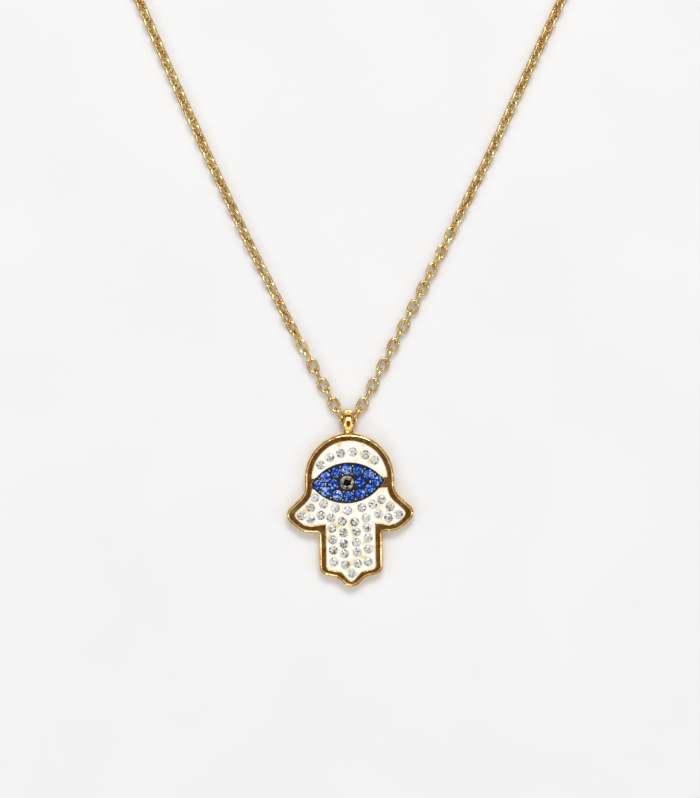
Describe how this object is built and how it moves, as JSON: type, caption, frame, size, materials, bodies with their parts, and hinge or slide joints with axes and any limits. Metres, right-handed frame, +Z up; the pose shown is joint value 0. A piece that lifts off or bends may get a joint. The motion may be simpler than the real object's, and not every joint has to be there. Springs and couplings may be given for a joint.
{
  "type": "hamsa pendant necklace",
  "caption": "Hamsa hand pendant with an eye of round blue stones and clear stones set in white resin, on a fine gold cable chain, lying flat.",
  "frame": {"origin": "centre of the hand's flat back, on the surface that the necklace lies on", "axes": "+Z up out of the surface, towards the viewer, with the stones facing +Z; +Y from the fingertip to the nape, the top of the picture; +X to the picture's right"},
  "size_m": [0.1122, 0.2101, 0.0024],
  "materials": {
    "gold_plated_brass": "polished",
    "white_resin": "glossy",
    "oxidised_tray": "satin",
    "blue_glass": "faceted, foil-backed",
    "grey_glass": "faceted, foil-backed",
    "clear_glass": "faceted, foil-backed"
  },
  "bodies": {
    "root": {"frame": "gold_plated_brass", "upper_panel": "white_resin", "lower_panel": "white_resin", "eye_setting": "oxidised_tray", "blue_stone_01": "blue_glass", "blue_stone_02": "blue_glass", "blue_stone_03": "blue_glass", "blue_stone_04": "blue_glass", "blue_stone_05": "blue_glass", "blue_stone_06": "blue_glass", "blue_stone_07": "blue_glass", "blue_stone_08": "blue_glass", "blue_stone_09": "blue_glass", "blue_stone_10": "blue_glass", "blue_stone_11": "blue_glass", "blue_stone_12": "blue_glass", "blue_stone_13": "blue_glass", "blue_stone_14": "blue_glass", "pupil_stone": "grey_glass", "crown_stones": "clear_glass", "palm_stones": "clear_glass", "jump_ring": "gold_plated_brass", "chain_left": "gold_plated_brass", "chain_right": "gold_plated_brass", "nape_left": "gold_plated_brass", "nape_right": "gold_plated_brass", "clasp": "gold_plated_brass"}
  },
  "joints": []
}
